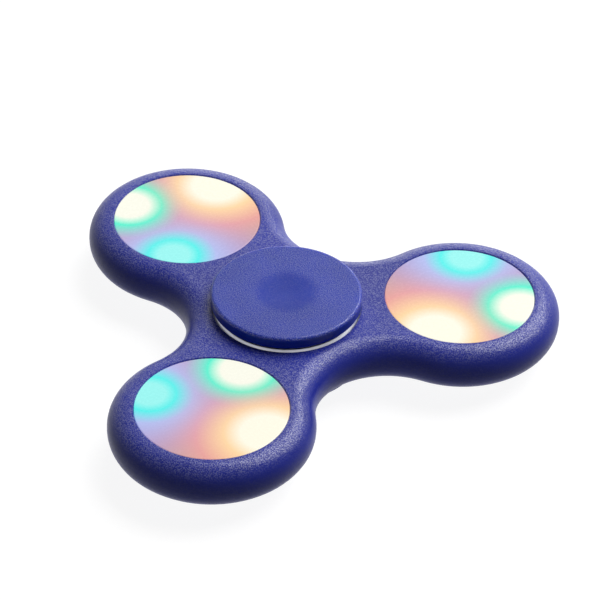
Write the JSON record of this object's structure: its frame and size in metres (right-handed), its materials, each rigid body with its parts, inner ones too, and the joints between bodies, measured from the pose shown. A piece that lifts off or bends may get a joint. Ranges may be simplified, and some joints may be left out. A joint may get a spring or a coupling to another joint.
{
  "type": "light-up finger spinner",
  "caption": "Three-lobed hand spinner on a ball bearing with round finger caps and a push-button light pod pressed into each lobe.",
  "frame": {"origin": "on the spin axis, at the face of the bottom cap that the spinner stands on", "axes": "+Z along the spin axis towards the top cap, +X through the axis of the first pod"},
  "size_m": [0.0688, 0.0748, 0.012],
  "materials": {
    "body_blue": "satin moulding with a very fine sparkling grain",
    "cap_blue": "satin moulding, smoother than the body",
    "race_steel": "ground bearing steel",
    "cage_steel": "pressed sheet",
    "shield_steel": "pressed sheet",
    "ball_steel": "polished",
    "pod_plastic": "milky, satin",
    "contact_brass": "plated spring strip",
    "cell_steel": "nickel-plated can",
    "board_green": "solder mask on glass-fibre laminate",
    "led_white": "white housing with a clear window",
    "resistor_ceramic": "ceramic chip",
    "controller_epoxy": "epoxy blob",
    "switch_plastic": "moulded",
    "plunger_plastic": "moulded",
    "button_plastic": "satin",
    "lens_clear": "clear over a diffusing layer"
  },
  "bodies": {
    "hub": {"bottom_cap": "cap_blue", "top_cap": "cap_blue", "bearing_inner_race": "race_steel"},
    "rotor": {"spinner_body": "body_blue", "bearing_outer_race": "race_steel", "bearing_shield_upper": "shield_steel", "bearing_shield_lower": "shield_steel", "pod_1_housing": "pod_plastic", "pod_1_contacts": "contact_brass", "pod_1_cells": "cell_steel", "pod_1_circuit_board": "board_green", "pod_1_leds": "led_white", "pod_1_resistors": "resistor_ceramic", "pod_1_controller": "controller_epoxy", "pod_1_switch_body": "switch_plastic", "pod_1_lens": "lens_clear", "pod_2_housing": "pod_plastic", "pod_2_contacts": "contact_brass", "pod_2_cells": "cell_steel", "pod_2_circuit_board": "board_green", "pod_2_leds": "led_white", "pod_2_resistors": "resistor_ceramic", "pod_2_controller": "controller_epoxy", "pod_2_switch_body": "switch_plastic", "pod_2_lens": "lens_clear", "pod_3_housing": "pod_plastic", "pod_3_contacts": "contact_brass", "pod_3_cells": "cell_steel", "pod_3_circuit_board": "board_green", "pod_3_leds": "led_white", "pod_3_resistors": "resistor_ceramic", "pod_3_controller": "controller_epoxy", "pod_3_switch_body": "switch_plastic", "pod_3_lens": "lens_clear"},
    "cage": {"bearing_cage_upper": "cage_steel", "bearing_cage_lower": "cage_steel", "bearing_cage_rivets": "cage_steel"},
    "ball_1": {"bearing_ball_1": "ball_steel"},
    "ball_2": {"bearing_ball_2": "ball_steel"},
    "ball_3": {"bearing_ball_3": "ball_steel"},
    "ball_4": {"bearing_ball_4": "ball_steel"},
    "ball_5": {"bearing_ball_5": "ball_steel"},
    "ball_6": {"bearing_ball_6": "ball_steel"},
    "ball_7": {"bearing_ball_7": "ball_steel"},
    "pod_1_push": {"pod_1_button": "button_plastic", "pod_1_switch_plunger": "plunger_plastic"},
    "pod_2_push": {"pod_2_button": "button_plastic", "pod_2_switch_plunger": "plunger_plastic"},
    "pod_3_push": {"pod_3_button": "button_plastic", "pod_3_switch_plunger": "plunger_plastic"}
  },
  "joints": [
    {"name": "spin", "type": "hinge", "parent": "hub", "child": "rotor", "pos_m": [0, 0, 0.006], "axis": [0, 0, 1], "continuous": true},
    {"name": "cage_spin", "type": "hinge", "parent": "hub", "child": "cage", "pos_m": [0, 0, 0.006], "axis": [0, 0, 1], "continuous": true},
    {"name": "ball_1_roll", "type": "hinge", "parent": "cage", "child": "ball_1", "pos_m": [0.0075, 0, 0.006], "axis": [0, 0, 1], "continuous": true},
    {"name": "ball_2_roll", "type": "hinge", "parent": "cage", "child": "ball_2", "pos_m": [0.00468, 0.00586, 0.006], "axis": [0, 0, 1], "continuous": true},
    {"name": "ball_3_roll", "type": "hinge", "parent": "cage", "child": "ball_3", "pos_m": [-0.00167, 0.00731, 0.006], "axis": [0, 0, 1], "continuous": true},
    {"name": "ball_4_roll", "type": "hinge", "parent": "cage", "child": "ball_4", "pos_m": [-0.00676, 0.00325, 0.006], "axis": [0, 0, 1], "continuous": true},
    {"name": "ball_5_roll", "type": "hinge", "parent": "cage", "child": "ball_5", "pos_m": [-0.00676, -0.00325, 0.006], "axis": [0, 0, 1], "continuous": true},
    {"name": "ball_6_roll", "type": "hinge", "parent": "cage", "child": "ball_6", "pos_m": [-0.00167, -0.00731, 0.006], "axis": [0, 0, 1], "continuous": true},
    {"name": "ball_7_roll", "type": "hinge", "parent": "cage", "child": "ball_7", "pos_m": [0.00468, -0.00586, 0.006], "axis": [0, 0, 1], "continuous": true},
    {"name": "pod_1_press", "type": "slide", "parent": "rotor", "child": "pod_1_push", "axis": [0, 0, 1], "range_m": [0, 0.00025], "stiffness_N_per_m": 2000},
    {"name": "pod_2_press", "type": "slide", "parent": "rotor", "child": "pod_2_push", "axis": [0, 0, 1], "range_m": [0, 0.00025], "stiffness_N_per_m": 2000},
    {"name": "pod_3_press", "type": "slide", "parent": "rotor", "child": "pod_3_push", "axis": [0, 0, 1], "range_m": [0, 0.00025], "stiffness_N_per_m": 2000}
  ],
  "couplings": [
    {"joint": "cage_spin", "follows": "spin", "ratio": 0.6323},
    {"joint": "ball_1_roll", "follows": "spin", "ratio": 1.7573},
    {"joint": "ball_2_roll", "follows": "spin", "ratio": 1.7573},
    {"joint": "ball_3_roll", "follows": "spin", "ratio": 1.7573},
    {"joint": "ball_4_roll", "follows": "spin", "ratio": 1.7573},
    {"joint": "ball_5_roll", "follows": "spin", "ratio": 1.7573},
    {"joint": "ball_6_roll", "follows": "spin", "ratio": 1.7573},
    {"joint": "ball_7_roll", "follows": "spin", "ratio": 1.7573}
  ]
}
